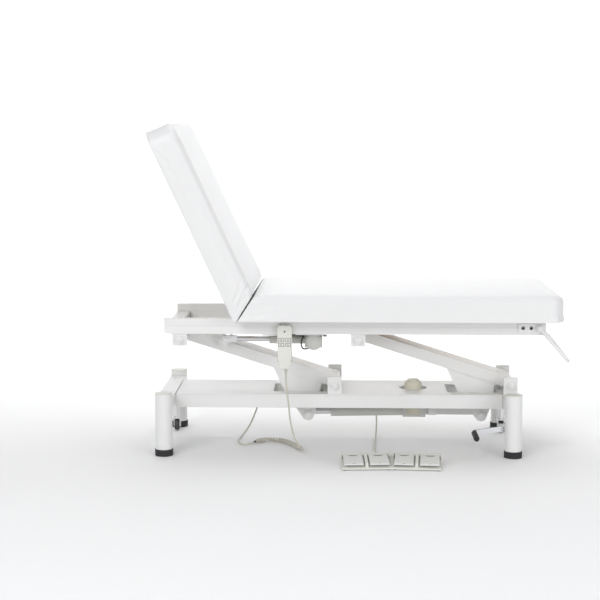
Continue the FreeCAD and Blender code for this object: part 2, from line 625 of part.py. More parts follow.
def handset():
    front = "(-D.top_half - D.hand_thick - 4)"
    body = new_body("D.hand_x", "-D.top_half - 4", "D.hand_z")
    pad(body, "XZ_Plane", [("-D.hand_wide/2 + 9", 0), ("D.hand_wide/2 - 9", 0), ("D.hand_wide/2 - 1", 34),
                           ("D.hand_wide/2", 100), ("D.hand_wide/2", "D.hand_tall"),
                           ("-D.hand_wide/2", "D.hand_tall"), ("-D.hand_wide/2", 100),
                           ("-D.hand_wide/2 + 1", 34)], "D.hand_thick", "One side")
    rounded(body, 11, lambda edge: along_y(edge) and edge.BoundBox.ZMin > 150)
    rounded(body, 3, lambda edge: edge.BoundBox.YLength < 0.1)
    wells = []
    for col in (-12, 12):
        for level in (103.5, 86.5):
            wells.append(block(f"D.hand_x + {col} - 8.4", f"{front} - 1", f"D.hand_z + {level} - 5.4",
                               16.8, 5, 10.8))
    keep(minus(body, *wells), "handset_housing")
    names = {(-12, 103.5): "up", (12, 103.5): "down", (-12, 86.5): "recline", (12, 86.5): "sit"}
    for (col, level), name in names.items():
        key = new_body(f"D.hand_x + {col}", f"{front} + 1.9", f"D.hand_z + {level}")
        pad(key, "XZ_Plane", rectangle(-8, -5, 8, 5), 4, "One side")
        rounded(key, 2, along_y)
        keep(key, f"handset_button_{name}")
    hook = new_body("D.hand_x", "-D.top_half", "D.hand_z")
    pad(hook, "YZ_Plane", [(-3.8, 96), (0, 96), (0, 161), (-12, 161), (-17, 157), (-15, 155.4), (-11, 157),
                           (-3.8, 157)], 19)
    keep(hook, "handset_hook")
    relief = bind(doc.addObject("Part::Cone", "relief"), Radius1=3.4, Radius2=6.5, Height=22)
    place(relief, "D.hand_x + 4", "-D.top_half - 16", "D.hand_z - 22")
    keep(relief, "handset_strain_relief")


# ---------------------------------------------------------------- control box and cords


HANDSET_RISER = [(-267, -241, 287.4), (-267, -241, 264), (-262, -241.5, 222), (-257, -241, 180), (-254,
                                                                                                  -238, 138),
                 (-247, -235, 99), (-238, -237, 66), (-224, -240, 36), (-209, -233, 15.5), (-203, -216, 9.8),
                 (-207.7, -197.3, 9.5), (-214, -181, 9.5)]
HANDSET_CURL = [(-214, -181, 9.5), (-226, -150, 9.5), (-243, -110, 9.5), (-266, -68, 9.5), (-299, -34, 9.5),
                (-339, -27, 9.5), (-371, -46, 9.5), (-391, -72, 9.5)]
HANDSET_TAIL = [(-391, -72, 9.5), (-402, -87, 6.5), (-422, -93, 3.2), (-440, -78, 3.2), (-449, -50, 3.2),
                (-452, -16, 3.2), (-448, 22, 3.6), (-438, 52, 10), (-420, 69, 33), (-403, 80, 66),
                (-390, 90, 101), (-378, 97, 131), (-358, 100, 152), (-334, 100, 152)]
PEDAL_CORD = [(37.97, -335.03, 16), (36.6, -315.1, 16), (36.5, -292, 7), (40, -262, 3.2), (45, -226, 3.2),
              (50, -180, 3.2), (50, -120, 3.2), (51, -60, 3.2), (54, 0, 3.4), (57, 42, 10), (60, 70, 34),
              (61, 84, 70), (55, 92, 108), (40, 97, 138), (16, 100, 152), (-8, 100, 152)]


def control_unit():
    keep(block("D.box_head_x", "D.box_near", "D.box_base", "D.box_foot_x - D.box_head_x", "D.box_deep",
               "D.deck_top - D.deck_sheet - D.box_base"), "control_box")
    keep(block("D.box_head_x + 90", "D.box_near + 6", "D.box_base - 14", 48, 30, 14), "mains_inlet")
    glands = []
    for x, turn in (("D.box_head_x", -90), ("D.box_foot_x", 90)):
        cone = bind(doc.addObject("Part::Cone", "gland"), Radius1=8, Radius2=4.2, Height=22)
        place(cone, x, 100, 152, Rotation(Vector(0, 1, 0), turn))
        glands.append(cone)
    turn = pod_turn(-1)
    spot = pod_place(-1).multVec(Vector(30, size("pod_deep") / 2 + 0.05, 16))
    cone = bind(doc.addObject("Part::Cone", "gland"), Radius1=7, Radius2=4.2, Height=16)
    place(cone, spot.x, spot.y, spot.z, turn.multiply(Rotation(Vector(1, 0, 0), -90)))
    glands.append(cone)
    keep(group(*glands), "cord_glands")


def cords():
    cord("handset_cord_riser", HANDSET_RISER, size("cord_dia"))
    cord("handset_cord_curl", HANDSET_CURL, size("curl_dia"))
    cord("handset_cord_tail", HANDSET_TAIL, size("cord_dia"))
    cord("pedal_cord", PEDAL_CORD, size("cord_dia"))


# ---------------------------------------------------------------- castors


def castors():
    bars = []
    for end, leg_x in (("head", "D.leg_head_x"), ("foot", "D.leg_foot_x")):
        bar = block(f"{leg_x} - 14", "-D.castor_y - 22", 172, 28, "2*D.castor_y + 44", 12)
        bores = [rod(leg_x, f"{side}D.castor_y", 170, "D.stem_rad + D.run_gap", 16) for side in ("-", "")]
        bars.append(minus(bar, *bores))
        for side, sign in (("near", "-"), ("far", "")):
            stem_y = f"{sign}D.castor_y"
            axle_y = f"({stem_y} - D.trail)"
            stem = rod(leg_x, stem_y, 48, "D.stem_rad", 157.5)
            collars = [rod(leg_x, stem_y, base, 14, 3.2) for base in (168.4, 184.4)]
            plate = rod(leg_x, stem_y, 47, 15, 6)
            bridge = block(f"{leg_x} - 13", f"{axle_y} - 9", 47, 26, "D.trail + 9", 4)
            cheeks = []
            for start in (-13, 10):
                cheeks.append(block(f"{leg_x} + {start}", f"{axle_y} - 9", "D.axle_z", 3, 18,
                                    "49 - D.axle_z"))
                cheeks.append(rod(f"{leg_x} + {start}", axle_y, "D.axle_z", 9, 3, "X"))
            axle = rod(f"{leg_x} - 13", axle_y, "D.axle_z", 4, 26, "X")
            fork = join(stem, *collars, plate, bridge, *cheeks, axle)
            keep(fork, f"castor_fork_{end}_{side}")
            disc = rod(f"{leg_x} - D.wheel_wide/2", axle_y, "D.axle_z", "D.wheel_rad", "D.wheel_wide", "X")
            bore = rod(f"{leg_x} - 12", axle_y, "D.axle_z", 4 + 0.05, 24, "X")
            keep(minus(disc, bore), f"castor_wheel_{end}_{side}")
    keep(group(*bars), "castor_lift_bars")


def castor_lever():
    """The foot lever on the hub at the foot end, with its sleeved peg that points to the near side."""
    pivot_x, near = "(D.leg_foot_x - 36)", "(-D.castor_y - 24.7)"
    slope = Rotation(Vector(0, 1, 0), -8.5)
    arm = bind(doc.addObject("Part::Box", "lever_arm"), Length=98, Width=8, Height=20)
    base = slope.multVec(Vector(-98, 0, -10))
    place(arm, f"{pivot_x} + ({base.x})", near, f"91 + ({base.z})", slope)
    end = slope.multVec(Vector(-98, 0, 0))
    hub = rod(pivot_x, near, 91, 10, 8, "Y")
    tip = rod(f"{pivot_x} + ({end.x})", near, f"91 + ({end.z})", 10, 8, "Y")
    peg = rod(f"{pivot_x} + ({end.x})", f"{near} - 92", f"91 + ({end.z})", 6, 93, "Y")
    bore = rod(pivot_x, f"{near} - 1", 91, 5 + 0.05, 10, "Y")
    keep(minus(join(arm, hub, tip, peg), bore), "castor_lever")
    sleeve = rod(f"{pivot_x} + ({end.x})", f"{near} - 98", f"91 + ({end.z})", 10, 97, "Y")
    inner = rod(f"{pivot_x} + ({end.x})", f"{near} - 92", f"91 + ({end.z})", 6, 94, "Y")
    keep(minus(sleeve, inner), "lever_peg_sleeve")


# ---------------------------------------------------------------- foot control


def pod_turn(side):
    """The two pods stand in a shallow V whose point is towards the bed."""
    return Rotation(Vector(0, 0, 1), -side * size("splay"))


def pod_place(side):
    """A pod's own frame, with Y still from the bed's centre line."""
    return Placement(Vector(size("pedal_x") + side * (size("pod_long") / 2 + 4), size("pedal_y"), 0),
                     pod_turn(side))


def foot_control():
    """Two pedal pods and a filler between them in one housing, each pod with two sprung pedals on a pin."""
    pods, feet, pins = [], [], []
    half_deep, half_long = size("pod_deep") / 2, size("pod_long") / 2
    profile = [(-half_deep, 3), (half_deep, 3), (half_deep, 30), (half_deep - 9, 39), (half_deep - 20, 39),
               (half_deep - 20, 24), (-half_deep, 9)]
    filler = new_body("D.pedal_x", "D.pedal_y + 5")
    pad(filler, "YZ_Plane", profile, 22)
    pods.append(filler)
    ridge = [(-half_deep + 2, 8), (22, 20), (22, 38.4), (-half_deep + 6, 24), (-half_deep + 2, 20)]
    for side in (-1, 1):
        turn, frame = pod_turn(side), pod_place(side)
        pod = new_body(frame.Base.x, frame.Base.y, 0, turn)
        pad(pod, "YZ_Plane", profile, "D.pod_long")
        rib = new_body(frame.Base.x, frame.Base.y, 0, turn)
        pad(rib, "YZ_Plane", ridge, "D.rib_wide")
        pods += [pod, rib]
        for start, wide in ((-half_long, 3.4), (-1.6, 3.2), (half_long - 3.4, 3.4)):
            spot = frame.multVec(Vector(start, 22, 20))
            cheek = bind(doc.addObject("Part::Box", "cheek"), Length=wide, Width=14, Height=18)
            pods.append(place(cheek, spot.x, spot.y, spot.z, turn))
        spot = frame.multVec(Vector(-half_long + 1, 28, 33))
        pin = bind(doc.addObject("Part::Cylinder", "pin"), Radius=2, Height=2 * half_long - 2)
        pins.append(place(pin, spot.x, spot.y, spot.z, turn.multiply(AXES["X"])))
        for foot_x in (-76, 76):
            for foot_y in (-47, 47):
                spot = frame.multVec(Vector(foot_x, foot_y, 0))
                feet.append(rod(spot.x, spot.y, 0, 6, 3))
        for half in (-1, 1):
            spot = frame.multVec(Vector(half * size("pedal_out"), 28, 33))
            pedal(f"foot_pedal_{side + 1 + (half + 1) // 2 + 1}", spot, turn)
    keep(join(*pods, *pins), "foot_control_housing")
    keep(group(*feet), "foot_control_feet")


def pedal(label, spot, turn):
    """A ramp that hangs forwards from its hinge bore."""
    ramp = new_body(spot.x, spot.y, spot.z, turn)
    pad(ramp, "YZ_Plane", [(-1, -4), (-1, 4), (-8, 4.5), (-79, -10), (-81, -13), (-79, -16), (-8, -3)],
        "D.pedal_wide")
    rounded(ramp, 1.2, lambda edge: edge.BoundBox.XLength > 60 and edge.BoundBox.YMax < -70)
    start = Placement(spot, turn).multVec(Vector(-size("pedal_wide") / 2, 0, 0))
    hub = bind(doc.addObject("Part::Cylinder", "hub"), Radius=4.6, Height="D.pedal_wide")
    place(hub, start.x, start.y, start.z, turn.multiply(AXES["X"]))
    start = Placement(spot, turn).multVec(Vector(-41, 0, 0))
    bore = bind(doc.addObject("Part::Cylinder", "bore"), Radius=2 + size("run_gap"), Height=82)
    place(bore, start.x, start.y, start.z, turn.multiply(AXES["X"]))
    keep(minus(join(ramp, hub), bore), label)


legs_and_feet()
cross_members()
base_deck()
lower_pivots()
lift_arm("left_arm", "D.low_head_x")
lift_arm("right_arm", "D.low_foot_x")
tie_link()
lift_actuator()
top_rails()
cross_tubes()
upper_pivots()
seat()
accessory_plates()
roll_holder()
backrest()
hinge_ears()
back_actuator()
handset()
control_unit()
cords()
castors()
castor_lever()
foot_control()

doc.recompute()
faulty = [obj.Label for obj in doc.Objects if {"Invalid", "Error"} & set(obj.State)]
if faulty:
    raise RuntimeError(f"failed objects: {faulty}")
os.makedirs("parts", exist_ok=True)
for node in NODES:
    if node.Shape.isNull() or not node.Shape.isValid():
        raise RuntimeError(f"{node.Label} has a bad shape")
    node.Shape.exportStep(f"parts/{node.Label}.step")
print(len(NODES), "nodes")
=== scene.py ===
import json
import math

import bmesh
import bpy
from mathutils import Matrix, Vector

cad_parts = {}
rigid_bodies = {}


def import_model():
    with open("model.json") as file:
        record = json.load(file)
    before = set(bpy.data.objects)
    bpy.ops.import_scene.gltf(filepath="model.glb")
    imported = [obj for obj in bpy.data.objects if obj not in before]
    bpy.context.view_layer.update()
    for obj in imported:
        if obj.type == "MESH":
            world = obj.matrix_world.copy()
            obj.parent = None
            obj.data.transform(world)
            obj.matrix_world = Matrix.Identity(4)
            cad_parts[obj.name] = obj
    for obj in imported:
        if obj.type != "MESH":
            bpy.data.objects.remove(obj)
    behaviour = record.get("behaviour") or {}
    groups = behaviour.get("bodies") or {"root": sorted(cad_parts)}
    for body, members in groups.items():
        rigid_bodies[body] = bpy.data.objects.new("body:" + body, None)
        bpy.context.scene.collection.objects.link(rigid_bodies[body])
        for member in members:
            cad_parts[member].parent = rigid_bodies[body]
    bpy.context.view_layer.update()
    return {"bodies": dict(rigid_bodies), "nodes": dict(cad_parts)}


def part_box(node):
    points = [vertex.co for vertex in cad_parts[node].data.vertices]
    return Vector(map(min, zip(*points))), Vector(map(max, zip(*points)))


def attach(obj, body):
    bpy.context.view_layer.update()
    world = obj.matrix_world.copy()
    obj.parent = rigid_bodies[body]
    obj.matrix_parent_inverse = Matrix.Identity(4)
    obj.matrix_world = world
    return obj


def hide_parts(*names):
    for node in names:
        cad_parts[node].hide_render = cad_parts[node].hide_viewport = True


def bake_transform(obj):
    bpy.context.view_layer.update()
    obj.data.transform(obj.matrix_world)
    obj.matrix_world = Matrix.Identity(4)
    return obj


# Looks of a facial treatment bed. Metres, in the CAD's own frame: +X runs from head to foot, +Z up.

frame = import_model()
HOME = {node: body for node, obj in frame["nodes"].items()
        for body, empty in frame["bodies"].items() if obj.parent is empty}
MM = 0.001


def mm(*numbers):
    return Vector(numbers) * MM


def centre(node):
    low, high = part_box(node)
    return (low + high) / 2


# ---------------------------------------------------------------- materials


def material(name, colour, rough, metal=0.0, grain=700.0, depth=0.00004, cells=False, uneven=0.04,
             tint=0.03, coat=0.0, creases=0.0, bumps=14.0):
    """A finish with cloudy roughness and colour, a fine surface grain and, if asked, soft creases."""
    made = bpy.data.materials.new(name)
    made.use_nodes = True
    tree = made.node_tree
    add, link = tree.nodes.new, tree.links.new
    shader = tree.nodes["Principled BSDF"]
    shader.inputs["Metallic"].default_value = metal
    shader.inputs["Coat Weight"].default_value = coat
    shader.inputs["Coat Roughness"].default_value = 0.2
    spot = add("ShaderNodeTexCoord")

    cloud = add("ShaderNodeTexNoise")
    cloud.inputs["Scale"].default_value = bumps
    cloud.inputs["Detail"].default_value = 4.0
    link(spot.outputs["Object"], cloud.inputs["Vector"])
    spread = add("ShaderNodeMapRange")
    spread.inputs["From Min"].default_value = 0.3
    spread.inputs["From Max"].default_value = 0.7
    spread.inputs["To Min"].default_value = max(0.02, rough - uneven)
    spread.inputs["To Max"].default_value = rough + uneven
    link(cloud.outputs["Fac"], spread.inputs["Value"])
    link(spread.outputs["Result"], shader.inputs["Roughness"])
    shade = add("ShaderNodeMix")
    shade.data_type = "RGBA"
    shade.inputs["A"].default_value = (*[c * (1 - tint) for c in colour], 1)
    shade.inputs["B"].default_value = (*colour, 1)
    link(cloud.outputs["Fac"], shade.inputs["Factor"])
    link(shade.outputs["Result"], shader.inputs["Base Color"])

    fine = add("ShaderNodeTexVoronoi" if cells else "ShaderNodeTexNoise")
    fine.inputs["Scale"].default_value = grain
    link(spot.outputs["Object"], fine.inputs["Vector"])
    relief = add("ShaderNodeBump")
    relief.inputs["Distance"].default_value = depth
    link(fine.outputs["Distance" if cells else "Fac"], relief.inputs["Height"])
    if creases:
        folds = add("ShaderNodeTexNoise")
        folds.inputs["Scale"].default_value = 22.0
        folds.inputs["Detail"].default_value = 5.0
        folds.inputs["Distortion"].default_value = 0.6
        link(spot.outputs["Object"], folds.inputs["Vector"])
        soft = add("ShaderNodeBump")
        soft.inputs["Distance"].default_value = creases
        link(folds.outputs["Fac"], soft.inputs["Height"])
        link(soft.outputs["Normal"], relief.inputs["Normal"])
    link(relief.outputs["Normal"], shader.inputs["Normal"])
    return made


def brushed(name, colour, rough, stretch):
    """Bare metal with long fine scratches along one axis."""
    made = material(name, colour, rough, metal=1.0, uneven=0.05)
    tree = made.node_tree
    spot = next(n for n in tree.nodes if n.bl_idname == "ShaderNodeTexCoord")
    fine = [n for n in tree.nodes if n.bl_idname == "ShaderNodeTexNoise"][-1]
    pull = tree.nodes.new("ShaderNodeMapping")
    pull.inputs["Scale"].default_value = stretch
    tree.links.new(spot.outputs["Object"], pull.inputs["Vector"])
    tree.links.new(pull.outputs["Vector"], fine.inputs["Vector"])
    return made


WHITE = material("powder_white", (0.80, 0.80, 0.79), 0.36, depth=0.00006, grain=450, coat=0.15)
VINYL = material("white_vinyl", (0.80, 0.80, 0.80), 0.40, grain=900, depth=0.00009, cells=True,
                 creases=0.0010, tint=0.02, coat=0.08)
PLY = material("plywood", (0.62, 0.45, 0.27), 0.65, grain=180, depth=0.0001, tint=0.35, bumps=60)
ZINC = brushed("zinc_plate", (0.80, 0.80, 0.80), 0.36, (1, 8, 8))
CHROME = material("chrome", (0.82, 0.83, 0.85), 0.09, metal=1.0, depth=0.00001, uneven=0.03)
RUBBER = material("black_rubber", (0.018, 0.018, 0.02), 0.62, grain=1200, depth=0.00008)
TYRE = material("wheel_grey_rubber", (0.05, 0.05, 0.055), 0.5, grain=900, depth=0.00006)
HUB = material("wheel_hub", (0.45, 0.45, 0.46), 0.42)
CREAM = material("cream_plastic", (0.66, 0.63, 0.52), 0.42, grain=1100, depth=0.00006)
OFF_WHITE = material("off_white_plastic", (0.74, 0.74, 0.69), 0.40, grain=1300, depth=0.00005, cells=True)
PEDAL = material("pedal_plastic", (0.74, 0.74, 0.72), 0.48, grain=1500, depth=0.00012, cells=True)
KEY = material("key_grey", (0.50, 0.50, 0.47), 0.5, grain=1500)
CORD = material("cord_pvc", (0.56, 0.54, 0.47), 0.45, grain=1600, depth=0.00005)
# Dark grey for the rims round the handset keys; it also paints the shade in the pedals' toe recesses and
# front notches.
DARK_RIM_AND_SHADE = material("key_rim", (0.20, 0.20, 0.19), 0.5, grain=1500)
MOTOR = material("motor_white_plastic", (0.60, 0.60, 0.57), 0.45, grain=1100, depth=0.00006)
PAINTED = material("painted_bolt", (0.84, 0.84, 0.83), 0.22, coat=0.4)
BLACK = material("black_plastic", (0.02, 0.02, 0.022), 0.4, grain=1300, depth=0.00006)
# Near-black for the printed key icons; it also paints the shade in the control box's vent slots and the mains
# inlet's recess.
PRINT_AND_SHADE = material("print_and_painted_shade_grey", (0.07, 0.07, 0.075), 0.55)


# ---------------------------------------------------------------- making pieces


def shaded(mesh, angle=32):
    mesh.shade_smooth()
    mesh.set_sharp_from_angle(angle=math.radians(angle))


def put(name, bm, mat, body, angle=32):
    """Turns a bmesh into a shown piece that moves with a CAD body."""
    bmesh.ops.recalc_face_normals(bm, faces=bm.faces)
    mesh = bpy.data.meshes.new(name)
    bm.to_mesh(mesh)
    bm.free()
    mesh.materials.append(mat)
    shaded(mesh, angle)
    obj = bpy.data.objects.new(name, mesh)
    bpy.context.scene.collection.objects.link(obj)
    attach(obj, body)
    return obj


def dress(node, mat, edge=1.2):
    """A CAD node's own shape with soft edges, which stands for the node."""
    bm = bmesh.new()
    bm.from_mesh(frame["nodes"][node].data)
    bmesh.ops.remove_doubles(bm, verts=bm.verts, dist=2e-6)
    bmesh.ops.dissolve_limit(bm, angle_limit=math.radians(0.5), verts=bm.verts, edges=bm.edges)
    obj = put("look_" + node, bm, mat, HOME[node])
    if edge:
        soft = obj.modifiers.new("soft_edges", "BEVEL")
        soft.width = edge * MM
        soft.segments = 2
        soft.limit_method = "ANGLE"
        soft.angle_limit = math.radians(40)
        soft.harden_normals = True
    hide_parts(node)
    return obj


def turned(name, profile, start, along, mat, body, sides=48, ring=False):
    """A turned piece from (distance along its axis, radius) pairs in mm. A ring's profile closes."""
    bm = bmesh.new()
    turn = Vector(along).to_track_quat("Z", "Y").to_matrix()
    rows = []
    for step, radius in profile:
        if radius == 0:
            rows.append([bm.verts.new(Vector(start) + turn @ mm(0, 0, step))])
            continue
        corners = [math.tau * i / sides for i in range(sides)]
        rows.append([bm.verts.new(Vector(start) + turn @ mm(radius * math.cos(a), radius * math.sin(a), step))
                     for a in corners])
    pairs = list(zip(rows, rows[1:])) + ([(rows[-1], rows[0])] if ring else [])
    for low, high in pairs:
        for i in range(sides):
            j = (i + 1) % sides
            if len(low) == 1:
                bm.faces.new((low[0], high[i], high[j]))
            elif len(high) == 1:
                bm.faces.new((low[i], low[j], high[0]))
            else:
                bm.faces.new((low[i], low[j], high[j], high[i]))
    if not ring:
        for row in (rows[0], rows[-1]):
            if len(row) > 1:
                bm.faces.new(row)
    return put(name, bm, mat, body)


def slab(name, low, high, mat, body, edge=0.8, about=None, turn=None):
    """A box with rounded edges between two corners in metres, turned about a point if asked."""
    low, high = Vector(low), Vector(high)
    bm = bmesh.new()
    bmesh.ops.create_cube(bm, size=1)
    for vert in bm.verts:
        vert.co = Vector((low[i] + (vert.co[i] + 0.5) * (high[i] - low[i]) for i in range(3)))
    if edge:
        bmesh.ops.bevel(bm, geom=bm.edges[:], offset=edge * MM, segments=3, profile=0.5, affect="EDGES")
    if turn is not None:
        bmesh.ops.rotate(bm, verts=bm.verts, cent=about, matrix=turn)
    return put(name, bm, mat, body)


def sheet_piece(name, corners, depth, mat, body):
    """A flat shape given by its corners, thickened along a vector."""
    bm = bmesh.new()
    face = bm.faces.new([bm.verts.new(Vector(c)) for c in corners])
    grown = bmesh.ops.extrude_face_region(bm, geom=[face])
    moved = [part for part in grown["geom"] if isinstance(part, bmesh.types.BMVert)]
    bmesh.ops.translate(bm, vec=Vector(depth), verts=moved)
    return put(name, bm, mat, body)


def curve_through(name, points, thick):
    data = bpy.data.curves.new(name, "CURVE")
    data.dimensions = "3D"
    data.resolution_u = 12
    data.bevel_depth = thick / 2
    data.bevel_resolution = 5
    data.use_fill_caps = True
    line = data.splines.new("NURBS")
    line.points.add(len(points) - 1)
    for spot, point in zip(line.points, points):
        spot.co = (*point, 1)
    line.order_u = 3
    line.use_endpoint_u = True
    obj = bpy.data.objects.new(name, data)
    bpy.context.scene.collection.objects.link(obj)
    return obj


def wire(name, points, thick, mat, body):
    """A round wire or cord along control points in mm."""
    obj = curve_through(name, [mm(*p) for p in points], thick * MM)
    obj.data.materials.append(mat)
    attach(obj, body)
    return obj


def centreline(points):
    """The points, in metres, that a cord through these control points passes."""
    obj = curve_through("guide", [mm(*p) for p in points], 0)
    bpy.context.view_layer.update()
    mesh = bpy.data.meshes.new_from_object(obj)
    line = [v.co.copy() for v in mesh.vertices]
    bpy.data.meshes.remove(mesh)
    bpy.data.objects.remove(obj)
    return line


def length_of(line):
    return sum((b - a).length for a, b in zip(line, line[1:]))


def evenly(line, step):
    """Points at even distances along a line."""
    wanted = max(2, round(length_of(line) / step))
    gap = length_of(line) / wanted
    spots, left, at = [line[0].copy()], gap, line[0].copy()
    for point in line[1:]:
        while (point - at).length >= left - 1e-9 and len(spots) < wanted:
            at = at + (point - at).normalized() * left
            spots.append(at.copy())
            left = gap
        left -= (point - at).length
        at = point.copy()
    return spots + [line[-1].copy()]


def frames_along(line):
    """A side vector at each point, carried along without twist."""
    ways = [(b - a).normalized() for a, b in zip(line, line[1:])]
    ways.append(ways[-1])
    side = ways[0].orthogonal().normalized()
    found = []
    for way in ways:
        side = (side - way * side.dot(way)).normalized()
        found.append((way, side.copy(), way.cross(side)))
    return found


def tube(line, radii, sides):
    """A closed tube along a line, with its own radius at each point."""
    bm = bmesh.new()
    rows = []
    for point, radius, (way, side, other) in zip(line, radii, frames_along(line)):
        rows.append([bm.verts.new(point + (side * math.cos(a) + other * math.sin(a)) * radius)
                     for a in (math.tau * i / sides for i in range(sides))])
    for low, high in zip(rows, rows[1:]):
        for i in range(sides):
            j = (i + 1) % sides
            bm.faces.new((low[i], low[j], high[j], high[i]))
    for row in (rows[0], rows[-1]):
        bm.faces.new(row)
    return bm


def tube_mesh(name, line, thick, mat, sides=14):
    """A tube along a line that isn't tied to a body yet."""
    bm = tube(line, [thick / 2] * len(line), sides)
    bmesh.ops.recalc_face_normals(bm, faces=bm.faces)
    mesh = bpy.data.meshes.new(name)
    bm.to_mesh(mesh)
    bm.free()
    mesh.materials.append(mat)
    shaded(mesh, 50)
    obj = bpy.data.objects.new(name, mesh)
    bpy.context.scene.collection.objects.link(obj)
    return obj


# ---------------------------------------------------------------- steel, board and plain plastic parts

SOFT_EDGED = [
    (WHITE, "white_coat", 1.6, ["cross_members", "base_side_rails", "lower_pivot_posts", "upper_frame_rails",
                                "lower_frame_rails", "cross_tubes", "upper_pivot_brackets", "left_arm",
                                "right_arm", "backrest_frame", "accessory_plates", "backrest_hinge_ears"]),
    (WHITE, "white_coat", 0.7, ["leg_tubes", "deck_plate", "tie_bar", "roll_holder"]),
    (ZINC, "zinc_steel", 0.5, ["lower_pivot_shafts", "upper_pivot_shafts", "tie_pins", "backrest_hinge_pins",
                               "lift_rod", "back_rod", "castor_lift_bars"]),
    (CHROME, "bright_chrome", 0.8, ["castor_lever"]),
    (RUBBER, "black_rubber", 1.4, ["rubber_feet", "lever_peg_sleeve", "foot_control_feet"]),
    (PLY, "plywood", 0.6, ["seat_board", "backrest_board"]),
    (MOTOR, "cream_plastic", 1.5, ["lift_motor", "back_motor"]),
    (OFF_WHITE, "off_white_plastic", 1.0, ["handset_housing", "handset_hook", "foot_control_housing",
                                           "control_box"]),
    (OFF_WHITE, "grey_key", 0.7, ["handset_button_up", "handset_button_down", "handset_button_recline",
                                  "handset_button_sit"]),
    (PEDAL, "off_white_plastic", 1.8, ["foot_pedal_1", "foot_pedal_2", "foot_pedal_3", "foot_pedal_4"]),
    (BLACK, "black_plastic", 0.6, ["mains_inlet"]),
]
for mat, slot, edge, nodes in SOFT_EDGED:
    for node in nodes:
        dress(node, mat, edge)
for end in ("head", "foot"):
    for side in ("near", "far"):
        dress(f"castor_fork_{end}_{side}", ZINC, 0.5)


# ---------------------------------------------------------------- cushions


def inflate(obj, held):
    """Cloth pressure tightens the cover over its foam; the underside is held by the board."""
    group = obj.vertex_groups.new(name="held")
    group.add(held, 1.0, "REPLACE")
    cloth = obj.modifiers.new("cover", "CLOTH")
    cloth.settings.quality = 5
    cloth.settings.mass = 0.25
    cloth.settings.tension_stiffness = 30
    cloth.settings.compression_stiffness = 30
    cloth.settings.shear_stiffness = 12
    cloth.settings.bending_stiffness = 3
    cloth.settings.use_pressure = True
    cloth.settings.uniform_pressure_force = 4
    cloth.settings.vertex_group_mass = "held"
    cloth.settings.effector_weights.gravity = 0
    cloth.point_cache.frame_start = 1
    cloth.point_cache.frame_end = 20
    for step in range(1, 21):
        bpy.context.scene.frame_set(step)
    seen = obj.evaluated_get(bpy.context.evaluated_depsgraph_get())
    moved = [v.co.copy() for v in seen.data.vertices]
    obj.modifiers.remove(cloth)
    bpy.context.scene.frame_set(1)
    return moved


def near_line(point, line):
    """Distance from a point to a line through (x, z) pairs in mm, in the XZ plane."""
    best = 1.0
    here = Vector((point.x, point.z))
    for a, b in zip(line, line[1:]):
        a, b = Vector(a) * MM, Vector(b) * MM
        along = max(0.0, min(1.0, (here - a).dot(b - a) / (b - a).length_squared))
        best = min(best, (here - a - (b - a) * along).length)
    return best


def cushion(node, name, origin, up, along, seams, folds, cap=3.5):
    """A foam cushion in stretched vinyl. up points out of its lying face and along towards its free end.
    The face at the fold is pressed against its neighbour."""
    up, along = up.normalized(), along.normalized()
    body = HOME[node]
    mesh = frame["nodes"][node].data.copy()
    obj = bpy.data.objects.new(name, mesh)
    bpy.context.scene.collection.objects.link(obj)
    remesh = obj.modifiers.new("even", "REMESH")
    remesh.mode = "VOXEL"
    remesh.voxel_size = 0.0065
    smooth = obj.modifiers.new("ease", "SMOOTH")
    smooth.iterations = 2
    smooth.factor = 0.5
    bpy.context.view_layer.update()
    even = bpy.data.meshes.new_from_object(obj.evaluated_get(bpy.context.evaluated_depsgraph_get()))
    obj.modifiers.clear()
    obj.data = even
    obj.name = name
    heights = [(v.co - origin).dot(up) for v in even.vertices]
    floor = min(heights)
    moved = inflate(obj, [i for i, h in enumerate(heights) if h < floor + 0.004])
    for vert, there in zip(even.vertices, moved):
        way = there - vert.co
        vert.co += way * min(1.0, cap * MM / max(way.length, 1e-9))
    grow = obj.modifiers.new("finer", "SUBSURF")
    grow.levels = 1
    bpy.context.view_layer.update()
    fine = bpy.data.meshes.new_from_object(obj.evaluated_get(bpy.context.evaluated_depsgraph_get()))
    obj.modifiers.clear()
    obj.data = fine
    top = max((v.co - origin).dot(up) for v in fine.vertices)
    normals = [v.normal.copy() for v in fine.vertices]
    for vert, normal in zip(fine.vertices, normals):
        height = (vert.co - origin).dot(up)
        flat = abs(normal.dot(up))
        sink = 0.0
        for drop in seams:
            if flat < 0.9:
                sink += 0.45 * MM * math.exp(-((height - top + drop * MM) / 0.0022) ** 2)
        if abs(normal.y) > 0.3:
            for line, deep, wide in folds:
                gap = near_line(vert.co, line)
                sink += deep * MM * (math.exp(-(gap / (wide * MM)) ** 2)
                                     - 0.4 * math.exp(-((gap - 2.2 * wide * MM) / (wide * MM)) ** 2))
        press = 3.2 * MM if normal.dot(along) < -0.5 else 0.0
        vert.co += normal * (press - sink)
    fine.materials.clear()
    fine.materials.append(VINYL)
    fine.shade_smooth()
    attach(obj, body)
    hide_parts(node)
    return obj


BACKREST_RAISED = math.radians(65)
SEAM_DROP = 20
# Creases beside the fold, each as (x, z) points in mm, then its depth and half width in mm.
SEAT_CREASES = [([(-424, 496), (-396, 508), (-350, 506)], 1.3, 6),
                ([(-412, 520), (-372, 538), (-310, 545)], 0.9, 9)]
BACKREST_CREASES = [([(-441, 498), (-436, 523), (-414, 571), (-394, 616)], 3.4, 4.0),
                    ([(-450, 502), (-449, 540), (-432, 580), (-419, 632)], 3.0, 4.2),
                    ([(-444, 500), (-443, 528), (-436, 548)], 2.2, 3.0),
                    ([(-476, 540), (-460, 596), (-448, 655)], 1.2, 9)]

